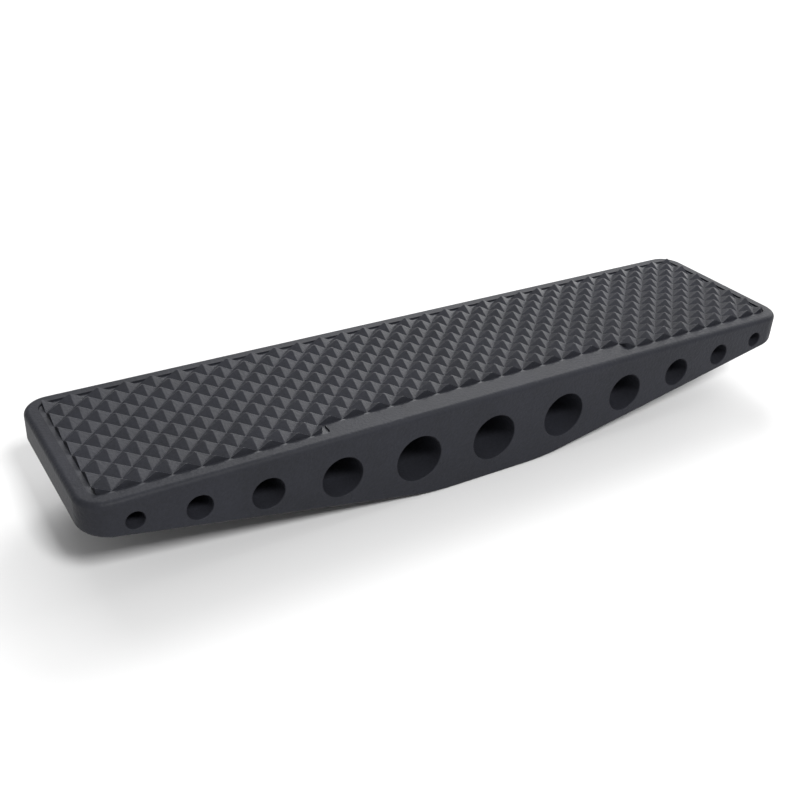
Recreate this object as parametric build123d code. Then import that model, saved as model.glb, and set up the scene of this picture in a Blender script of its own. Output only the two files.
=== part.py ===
from build123d import *
import os
from math import cos, radians, sqrt, tan

# Rocker balance pad: a moulded foam block with a flat deck, a faceted belly that it tips on,
# eleven cross holes, and a pyramid-studded grip mat bonded into a recess in the deck. A narrow
# flat margin of the mat shows round its studs as a shallow groove inside the border.
# Frame: X along the pad, Y across it, Z up. The origin is under the middle of the flat
# stretch of the belly, which is the face that the pad rests on.
# The side with the wide blank border faces -Y.

# ---------- driving dimensions, mm ----------
pyramid_side = 10.0        # edge of one pyramid's square base
pyramid_height = 4.0       # valley to peak, before the peak is blunted
peak_flat = 0.7            # width of the blunt peak
columns = 30               # pyramid diagonals along the deck
rows = 6                   # pyramid diagonals across the deck
rim = 9.8                  # from the outermost studs to the outer edge
groove = 2.7               # sunk margin round the studs, between them and the border
deck_height = 52.0         # from the resting face to the border of the deck
valley_drop = 0.9          # valleys of the mat below the border
mat_base = 2.2             # solid web of the mat under the valleys
mat_clearance = 0.15       # gap all round between the mat and its recess
notch_columns = 14         # length of the step in the studs' front edge, in diagonals
notch_rows = 0.5           # how far it steps into the studs, in diagonals
flat_length = 75.0         # flat stretch of the belly, between its two virtual corners
tilt_angle = 10.75         # slope of the belly on both sides of the flat
belly_radius = 120.0       # blend between the flat and the slopes
corner_radius = 14.0       # block's corners in plan
deck_round = 3.0           # softened upper edge
belly_round = 2.0          # softened lower edge
stud_corner_radius = 4.0   # studded area's outer corners in plan
step_corner_radius = 2.5   # corners in plan where the step begins, studs and recess alike

# cross holes: distance from the middle, depth of the axis below the deck, radius
cross_holes = [
    (0.0, 27.3, 13.5),
    (48.0, 26.4, 13.4),
    (93.2, 23.6, 11.4),
    (133.5, 20.1, 8.6),
    (168.1, 16.4, 6.6),
    (198.4, 13.0, 4.6),
]

# ---------- sizes that follow ----------
diagonal = pyramid_side * sqrt(2)
studs_length = columns * diagonal
studs_width = rows * diagonal
length = studs_length + 2 * rim
width = studs_width + 2 * rim
half_length = length / 2
half_flat = flat_length / 2
end_height = (half_length - half_flat) * tan(radians(tilt_angle))
valley_height = deck_height - valley_drop
recess_floor = valley_height - mat_base
notch_half = notch_columns * diagonal / 2
notch_depth = notch_rows * diagonal


def side_profile():
    """Outline of the block seen from the side: flat deck, faceted belly, upright ends."""
    outline = Polyline(
        (-half_length, deck_height),
        (-half_length, end_height),
        (-half_flat, 0),
        (half_flat, 0),
        (half_length, end_height),
        (half_length, deck_height),
        close=True,
    )
    face = make_face(outline)
    belly_corners = face.vertices().filter_by(lambda v: abs(v.Y) < 0.01)
    return Plane.XZ * fillet(belly_corners, radius=belly_radius)


def stud_outline(margin=0.0):
    """Plan of the studded area, stepped in along its front edge, grown by margin all round."""
    half_x = studs_length / 2 + margin
    half_y = studs_width / 2 + margin
    step_x = notch_half - margin
    step_y = notch_depth - half_y
    outline = Polyline(
        (-half_x, half_y),
        (-half_x, -half_y),
        (-step_x, -half_y),
        (-step_x, step_y),
        (step_x, step_y),
        (step_x, -half_y),
        (half_x, -half_y),
        (half_x, half_y),
        close=True,
    )
    face = make_face(outline)
    outer_corners = face.vertices().filter_by(lambda v: abs(v.X) > half_x - 1)
    face = fillet(outer_corners, radius=stud_corner_radius + margin)
    step_corners = face.vertices().filter_by(lambda v: abs(v.X) < half_x / 2 and v.Y < step_y - 1)
    return fillet(step_corners, radius=step_corner_radius)


def block_blank():
    """Block before the holes and the recess, with its edges softened."""
    slab = extrude(side_profile(), amount=width / 2, both=True)
    plan = RectangleRounded(length, width, corner_radius)
    blank = slab & extrude(plan, amount=deck_height)
    deck_edges = blank.faces().sort_by(Axis.Z)[-1].edges()
    blank = fillet(deck_edges, radius=deck_round)
    belly_faces = blank.faces().filter_by(lambda f: f.normal_at().Z < -0.5 and f.area > 400)
    rim_edges = [
        edge
        for face in belly_faces
        for edge in face.edges()
        if not is_across(edge)
    ]
    return fillet(rim_edges, radius=belly_round)


def is_across(edge):
    """True for the lines that run right across the belly, between its flat and its slopes."""
    box = edge.bounding_box().size
    return box.Y > width - 1 and box.X < 1


def rocker_block():
    block = block_blank()
    for offset, depth, radius in cross_holes:
        for x in sorted({-offset, offset}):
            axis_plane = Plane(origin=(x, 0, deck_height - depth), z_dir=(0, 1, 0))
            block -= axis_plane * Cylinder(radius, width + 10)
    recess = extrude(stud_outline(groove), amount=deck_height)
    return block - Pos(0, 0, recess_floor) * recess


def ridged_sheet(turn):
    """Sheet whose top is a row of straight ridges, one every pyramid_side, turned about Z."""
    reach = (studs_length + studs_width) / 2 / sqrt(2)
    count = int(reach / pyramid_side) + 1
    blunt = 1 - peak_flat / pyramid_side
    peak_level = valley_height + pyramid_height * blunt
    outline = [(-(count + 0.5) * pyramid_side, recess_floor)]
    for ridge in range(-count, count + 1):
        middle = ridge * pyramid_side
        outline.append((middle - pyramid_side / 2, valley_height))
        outline.append((middle - peak_flat / 2, peak_level))
        outline.append((middle + peak_flat / 2, peak_level))
    outline.append(((count + 0.5) * pyramid_side, valley_height))
    outline.append(((count + 0.5) * pyramid_side, recess_floor))
    face = Plane.XZ * make_face(Polyline(*outline, close=True))
    sheet = extrude(face, amount=count * pyramid_side, both=True)
    return sheet.rotate(Axis.Z, turn)


def grip_mat():
    """Web that fills the recess up to the valleys, with the studs standing on it."""
    web = extrude(stud_outline(groove - mat_clearance), amount=mat_base)
    studs = ridged_sheet(45) & ridged_sheet(-45)
    studs &= Pos(0, 0, recess_floor) * extrude(stud_outline(), amount=deck_height)
    return studs + Pos(0, 0, recess_floor) * web


def slope_mount(side):
    """Middle of a sloping belly face and its outward normal, printed for the mounts."""
    x = (half_flat + half_length) / 2
    z = (x - half_flat) * tan(radians(tilt_angle))
    normal = (tan(radians(tilt_angle)) * cos(radians(tilt_angle)), -cos(radians(tilt_angle)))
    return (side * x, 0, z), (side * normal[0], 0, normal[1])


os.makedirs("parts", exist_ok=True)
block = rocker_block()
mat = grip_mat()
export_step(block, "parts/rocker_block.step")
export_step(mat, "parts/grip_mat.step")

print("length, width:", round(length, 2), round(width, 2))
print("height over the peaks:", round(mat.bounding_box().max.Z, 2))
print("volumes, cm3:", round(block.volume / 1000, 1), round(mat.volume / 1000, 1))
for side in (-1, 1):
    print("slope face:", slope_mount(side))
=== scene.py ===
import math

import bmesh
import bpy
from mathutils import Matrix, Vector


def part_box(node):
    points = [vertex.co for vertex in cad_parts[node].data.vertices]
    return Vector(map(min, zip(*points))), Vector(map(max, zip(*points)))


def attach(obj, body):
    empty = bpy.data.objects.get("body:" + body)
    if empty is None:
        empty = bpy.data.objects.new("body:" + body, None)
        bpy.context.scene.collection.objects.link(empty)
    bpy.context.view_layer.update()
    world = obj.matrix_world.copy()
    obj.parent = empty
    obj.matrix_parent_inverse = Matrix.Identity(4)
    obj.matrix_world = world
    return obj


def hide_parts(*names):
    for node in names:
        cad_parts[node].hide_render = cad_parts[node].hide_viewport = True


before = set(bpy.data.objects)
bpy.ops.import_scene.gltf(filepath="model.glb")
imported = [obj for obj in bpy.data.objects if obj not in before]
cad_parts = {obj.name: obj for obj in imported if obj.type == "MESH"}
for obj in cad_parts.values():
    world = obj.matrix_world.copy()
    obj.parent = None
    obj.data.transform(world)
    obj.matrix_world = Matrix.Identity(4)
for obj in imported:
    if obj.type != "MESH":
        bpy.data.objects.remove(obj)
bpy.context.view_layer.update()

# --- Rocker block ---------------------------------------------------------------------------
# The body of the pad: one piece of dense closed-cell EVA foam, moulded with a smooth matte skin.
# Its belly is flat in the middle and slopes up to thin ends, its edges leave the mould softly
# rounded, and a shallow recess in the deck takes the grip mat.
MM = 0.001
HAIR = 1e-6  # metres: two places closer than this count as one
block_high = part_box("rocker_block")[1]
mat_low, mat_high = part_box("grip_mat")
half_length = block_high.x
half_width = block_high.y
deck = block_high.z
tilt = math.radians(10.75)
half_flat = 37.5 * MM
belly_radius = 120 * MM
corner_radius = 14 * MM
deck_round = 3 * MM
belly_round = 2 * MM
mat_gap = 0.15 * MM
groove = 2.7 * MM
outer_corner = 4 * MM
step_corner = 2.5 * MM
above_deck = deck + 5 * MM
studs_x = mat_high.x - groove + mat_gap
studs_y = mat_high.y - groove + mat_gap
stud_diagonal = studs_y / 3
notch_x = 7 * stud_diagonal
notch_y = stud_diagonal / 2 - studs_y


def edges_between(mesh, first, second):
    """Edges with a face whose normal passes the first test beside one that passes the second."""
    found = []
    for edge in mesh.edges:
        if len(edge.link_faces) != 2:
            continue
        a, b = (face.normal for face in edge.link_faces)
        if (first(a) and second(b)) or (first(b) and second(a)):
            found.append(edge)
    return found


def faces_up(normal):
    return normal.z > 0.95


def faces_out(normal):
    return abs(normal.z) < 0.1


def faces_down(normal):
    return normal.z < -0.9


def round_edges(mesh, edges, offset, segments):
    bmesh.ops.bevel(mesh, geom=edges, offset=offset, segments=segments, profile=0.5,
                    affect="EDGES", clamp_overlap=True, material=-1)


def finish_mesh(mesh, name, sharp_angle=35):
    """Turn a bmesh into an object whose creases over sharp_angle degrees stay crisp."""
    bmesh.ops.remove_doubles(mesh, verts=mesh.verts, dist=0.002 * MM)
    for face in mesh.faces:
        face.smooth = True
    for edge in mesh.edges:
        edge.smooth = edge.calc_face_angle(math.pi) < math.radians(sharp_angle)
    data = bpy.data.meshes.new(name)
    mesh.to_mesh(data)
    mesh.free()
    piece = bpy.data.objects.new(name, data)
    bpy.context.scene.collection.objects.link(piece)
    return piece


def even_normals(piece):
    """Broad flat faces keep their own normals and the small rounds blend into them."""
    weigh = piece.modifiers.new("even_normals", "WEIGHTED_NORMAL")
    weigh.mode = "FACE_AREA"
    weigh.weight = 100
    weigh.keep_sharp = True


# The side outline, pushed through to the pad's width.
body = bmesh.new()
end_lift = (half_length - half_flat) * math.tan(tilt)
outline = [
    (-half_length, deck), (-half_length, end_lift), (-half_flat, 0),
    (half_flat, 0), (half_length, end_lift), (half_length, deck),
]
side = body.faces.new([body.verts.new((x, -half_width, z)) for x, z in outline])
grown = bmesh.ops.extrude_face_region(body, geom=[side])
new_verts = [g for g in grown["geom"] if isinstance(g, bmesh.types.BMVert)]
bmesh.ops.translate(body, verts=new_verts, vec=(0, 2 * half_width, 0))
bmesh.ops.recalc_face_normals(body, faces=body.faces)

# Broad blends where the belly turns, then the corners seen from above.
belly_turns = [e for e in body.edges if all(v.co.z < HAIR for v in e.verts)
               and abs(e.verts[0].co.x - e.verts[1].co.x) < HAIR]
round_edges(body, belly_turns, belly_radius * math.tan(tilt / 2), segments=10)
uprights = [e for e in body.edges if abs(e.verts[0].co.z - e.verts[1].co.z) > 10 * MM]
uprights = [e for e in uprights if all(abs(v.co.x) > half_length - MM for v in e.verts)
            and abs(e.verts[0].co.x - e.verts[1].co.x) < HAIR]
round_edges(body, uprights, corner_radius, segments=12)
body.normal_update()
round_edges(body, edges_between(body, faces_up, faces_out), deck_round, segments=5)
body.normal_update()
round_edges(body, edges_between(body, faces_down, faces_out), belly_round, segments=4)
body.normal_update()

block = finish_mesh(body, "rocker_block_skin")


def stepped_slab(name, margin, low, high):
    """A slab with the plan of the studded area, grown by margin, between two heights."""
    slab = bmesh.new()
    end_x, end_y = studs_x + margin, studs_y + margin
    step_x, step_y = notch_x - margin, notch_y - margin
    plan = [(-end_x, end_y), (-end_x, -end_y), (-step_x, -end_y), (-step_x, step_y),
            (step_x, step_y), (step_x, -end_y), (end_x, -end_y), (end_x, end_y)]
    flat = slab.faces.new([slab.verts.new((x, y, low)) for x, y in plan])
    raised = bmesh.ops.extrude_face_region(slab, geom=[flat])
    top = [g for g in raised["geom"] if isinstance(g, bmesh.types.BMVert)]
    bmesh.ops.translate(slab, verts=top, vec=(0, 0, high - low))
    bmesh.ops.recalc_face_normals(slab, faces=slab.faces)
    upright = [e for e in slab.edges if abs(e.verts[0].co.z - e.verts[1].co.z) > HAIR]
    outer = [e for e in upright if abs(e.verts[0].co.x) > studs_x]
    round_edges(slab, outer, outer_corner + margin, segments=6)
    step = [e for e in upright if e.is_valid and abs(abs(e.verts[0].co.x) - step_x) < HAIR
            and e.verts[0].co.y < step_y - MM]
    round_edges(slab, step, step_corner, segments=6)
    return finish_mesh(slab, name)


def combine(piece, tool, operation, sharp_angle=35):
    """Cut tool out of piece, or join it on, and keep only the resulting mesh."""
    name = piece.name
    change = piece.modifiers.new("combine", "BOOLEAN")
    change.operation = operation
    change.solver = "EXACT"
    change.object = tool
    bpy.context.view_layer.update()
    graph = bpy.context.evaluated_depsgraph_get()
    mesh = bmesh.new()
    mesh.from_mesh(bpy.data.meshes.new_from_object(piece.evaluated_get(graph)))
    bpy.data.objects.remove(piece)
    bpy.data.objects.remove(tool)
    return finish_mesh(mesh, name, sharp_angle)


block = combine(block, stepped_slab("recess", groove, mat_low.z, above_deck), "DIFFERENCE")

# The cross holes are as smooth as the mould's pins and soften a little where they meet the sides.
# Each is given as distance from the middle, depth of its axis under the deck, and radius.
cross_holes = [(0, 27.3, 13.5), (48, 26.4, 13.4), (93.2, 23.6, 11.4),
               (133.5, 20.1, 8.6), (168.1, 16.4, 6.6), (198.4, 13.0, 4.6)]
hole_lip = 0.5 * MM
pin_overshoot = 6 * MM
pins = bmesh.new()
for offset, depth, radius in cross_holes:
    for x in sorted({-offset, offset}):
        reach = half_width + pin_overshoot
        line = [(0, -reach), (radius * MM + 2 * hole_lip, -reach),
                (radius * MM + 2 * hole_lip, -half_width - 0.25 * hole_lip)]
        for step in range(4):
            angle = math.radians(30 * step)
            line.append((radius * MM + hole_lip * (1 - math.sin(angle)),
                         hole_lip * (1 - math.cos(angle)) - half_width))
        line += [(r, -y) for r, y in reversed(line)]
        verts = [pins.verts.new((x * MM + r, y, deck - depth * MM)) for r, y in line]
        edges = [pins.edges.new(pair) for pair in zip(verts, verts[1:])]
        bmesh.ops.spin(pins, geom=verts + edges, cent=(x * MM, 0, deck - depth * MM),
                       axis=(0, 1, 0), angle=2 * math.pi, steps=72, use_merge=True)
bmesh.ops.remove_doubles(pins, verts=pins.verts, dist=HAIR)
bmesh.ops.recalc_face_normals(pins, faces=pins.faces)
block = combine(block, finish_mesh(pins, "mould_pins"), "DIFFERENCE")
even_normals(block)
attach(block, "root")
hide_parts("rocker_block")


def linear(hex_colour):
    """An sRGB hex colour as the linear colour that a shader takes."""
    channels = [int(hex_colour[i:i + 2], 16) / 255 for i in (0, 2, 4)]
    return [c / 12.92 if c <= 0.04045 else ((c + 0.055) / 1.055) ** 2.4 for c in channels] + [1]


def add(tree, kind, links=(), **settings):
    """Add a node: settings go to its properties or, by index or name, its sockets."""
    node = tree.nodes.new(kind)
    for name, value in settings.items():
        if name == "inputs":
            for socket, number in value.items():
                node.inputs[socket].default_value = number
        else:
            setattr(node, name, value)
    for output, socket in links:
        tree.links.new(output, node.inputs[socket])
    return node


def foam_skin(name, dark, light, rough, gloss):
    """A moulded skin, dead matte and slightly cloudy, with a pebble grain.

    A grain of its real width is too fine to show, so it is drawn coarser.
    """
    cloud_width = 40 * MM
    grain_width = 1.6 * MM
    grain_depth = 0.25 * MM
    grain_share = 0.45
    material = bpy.data.materials.new(name)
    material.use_nodes = True
    tree = material.node_tree
    tree.nodes.clear()
    out = add(tree, "ShaderNodeOutputMaterial")
    place = add(tree, "ShaderNodeTexCoord").outputs["Object"]
    clouds = add(tree, "ShaderNodeTexNoise", [(place, "Vector")],
                 inputs={"Scale": 1 / cloud_width, "Detail": 3, "Roughness": 0.6})
    grain = add(tree, "ShaderNodeTexNoise", [(place, "Vector")],
                inputs={"Scale": 1 / grain_width, "Detail": 2, "Roughness": 0.55})
    both = add(tree, "ShaderNodeMix", [(clouds.outputs["Fac"], 2), (grain.outputs["Fac"], 3)],
               data_type="FLOAT", inputs={0: grain_share})
    tone = add(tree, "ShaderNodeMapRange", [(both.outputs[0], "Value")],
               inputs={"From Min": 0.3, "From Max": 0.7})
    colour = add(tree, "ShaderNodeMix", [(tone.outputs[0], 0)], data_type="RGBA",
                 inputs={6: linear(dark), 7: linear(light)})
    bump = add(tree, "ShaderNodeBump", [(grain.outputs["Fac"], "Height")],
               inputs={"Strength": 1.0, "Distance": grain_depth})
    skin = add(tree, "ShaderNodeBsdfPrincipled",
               [(colour.outputs[2], "Base Color"), (bump.outputs[0], "Normal")],
               inputs={"Roughness": rough, "IOR": 1.49, "Specular IOR Level": gloss})
    tree.links.new(skin.outputs[0], out.inputs["Surface"])
    return material


# Charcoal EVA foam: its closed skin scatters light softly, so the deck border has a broad, dull sheen.
block.data.materials.append(foam_skin("moulded_eva_skin", "242529", "2b2c32", rough=0.5, gloss=0.11))

# --- Grip mat -------------------------------------------------------------------------------
# A studded mat cut from larger moulded sheet and bonded into the recess: blunt square pyramids
# on a grid turned 45 degrees to the pad, cut off upright wherever the outline meets them.
stud = stud_diagonal / math.sqrt(2)
stud_height = 4 * MM
peak_round = 0.75 * MM
ridge_round = 0.5 * MM
valley = deck - 0.9 * MM
web_top = valley - 0.05 * MM
stud_foot = mat_low.z + 0.5 * MM
overhang = 0.6 * stud_diagonal
cells = 2 * math.ceil((studs_x + studs_y) / math.sqrt(2) / stud) + 1
mat = bmesh.new()
bmesh.ops.create_grid(mat, x_segments=cells, y_segments=cells, size=cells * stud / 2)
bmesh.ops.rotate(mat, verts=mat.verts, cent=(0, 0, 0), matrix=Matrix.Rotation(math.pi / 4, 3, "Z"))
far = [f for f in mat.faces if abs(f.calc_center_median().x) > studs_x + overhang
       or abs(f.calc_center_median().y) > studs_y + overhang]
bmesh.ops.delete(mat, geom=far, context="FACES")
bmesh.ops.translate(mat, verts=mat.verts, vec=(0, 0, valley))
peaks = bmesh.ops.poke(mat, faces=mat.faces, offset=stud_height)["verts"]
bmesh.ops.bevel(mat, geom=peaks, offset=peak_round, segments=1, profile=0.5, affect="VERTICES",
                material=-1)
ridges = [e for e in mat.edges if abs(e.verts[0].co.z - e.verts[1].co.z) > MM]
round_edges(mat, ridges, ridge_round, segments=2)

# The field of studs gets straight sides and a bottom, is cut to the stepped plan, and then
# stands on the web, whose flat margin shows round it. Creases stay crisp from just under the 33
# degrees at the small flats where four studs meet, so that the faces of the studs look flat.
stud_crease = 28
walls = bmesh.ops.extrude_edge_only(mat, edges=[e for e in mat.edges if e.is_boundary])
for vert in [g for g in walls["geom"] if isinstance(g, bmesh.types.BMVert)]:
    vert.co.z = mat_low.z
bmesh.ops.contextual_create(mat, geom=[e for e in mat.edges if e.is_boundary])
bmesh.ops.recalc_face_normals(mat, faces=mat.faces)
grip = finish_mesh(mat, "grip_mat_studs")
grip = combine(grip, stepped_slab("stud_plan", 0, stud_foot, above_deck), "INTERSECT")
web = stepped_slab("web", groove - mat_gap, mat_low.z, web_top)
grip = combine(grip, web, "UNION", stud_crease)
even_normals(grip)
# Charcoal grip rubber, a shade lighter than the block and a little less matte: its ridges catch light.
grip.data.materials.append(foam_skin("moulded_grip_rubber", "292a2e", "313238", rough=0.42, gloss=0.18))
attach(grip, "root")
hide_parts("grip_mat")

# --- Studio ---------------------------------------------------------------------------------
# A pale board floor in a pale room, and broad soft lights, as for a catalogue picture: the key behind
# the pad on the right puts a sheen on the deck, and the front light reaches into the cross holes.
floor_mesh = bmesh.new()
bmesh.ops.create_circle(floor_mesh, cap_ends=True, segments=96, radius=6)
floor = finish_mesh(floor_mesh, "studio_floor")
floor_paint = bpy.data.materials.new("matte_white_board")
floor_paint.use_nodes = True
floor_paint.node_tree.nodes["Principled BSDF"].inputs["Base Color"].default_value = linear("dddddd")
floor_paint.node_tree.nodes["Principled BSDF"].inputs["Roughness"].default_value = 0.9
floor.data.materials.append(floor_paint)

world = bpy.data.worlds.new("studio_air")
world.use_nodes = True
world.node_tree.nodes["Background"].inputs["Color"].default_value = (1, 1, 1, 1)
world.node_tree.nodes["Background"].inputs["Strength"].default_value = 0.35
bpy.context.scene.world = world


def softbox(name, azimuth, elevation, size, watts):
    """A square soft light aimed at the middle of the pad; azimuth 0 is along +X."""
    aim = Vector((0, 0, 0.03))
    distance = 2.4
    lamp = bpy.data.lights.new(name, "AREA")
    lamp.shape = "SQUARE"
    lamp.size, lamp.energy = size, watts
    light = bpy.data.objects.new(name, lamp)
    around, up = math.radians(azimuth), math.radians(elevation)
    place = Vector((math.cos(around) * math.cos(up), math.sin(around) * math.cos(up), math.sin(up)))
    light.location = distance * place
    light.rotation_euler = (aim - light.location).to_track_quat("-Z", "Y").to_euler()
    bpy.context.scene.collection.objects.link(light)


softbox("key", 54, 38, 1.0, 30)
softbox("side", 8, 30, 1.2, 17)
softbox("low_side", 30, 8, 1.0, 10)
softbox("back", 90, 50, 1.4, 16)
softbox("left", 180, 50, 1.4, 2)
softbox("front", 270, 48, 0.5, 50)

# The camera looks down on the pad from its front left, slightly rolled, with everything sharp.
bpy.context.scene.view_settings.view_transform = "Standard"
eye = bpy.data.cameras.new("camera")
eye.lens = 47.15
eye.clip_start = 0.01
camera = bpy.data.objects.new("camera", eye)
stand = Vector((-0.3063, -0.4243, 0.3259))
turn, dip, roll = (math.radians(a) for a in (-33.265, 30.398, 3.268))
camera.matrix_world = (Matrix.Translation(stand)
                       @ Matrix.Rotation(turn, 4, "Z")
                       @ Matrix.Rotation(math.pi / 2 - dip, 4, "X")
                       @ Matrix.Rotation(roll, 4, "Z"))
bpy.context.scene.collection.objects.link(camera)
bpy.context.scene.camera = camera
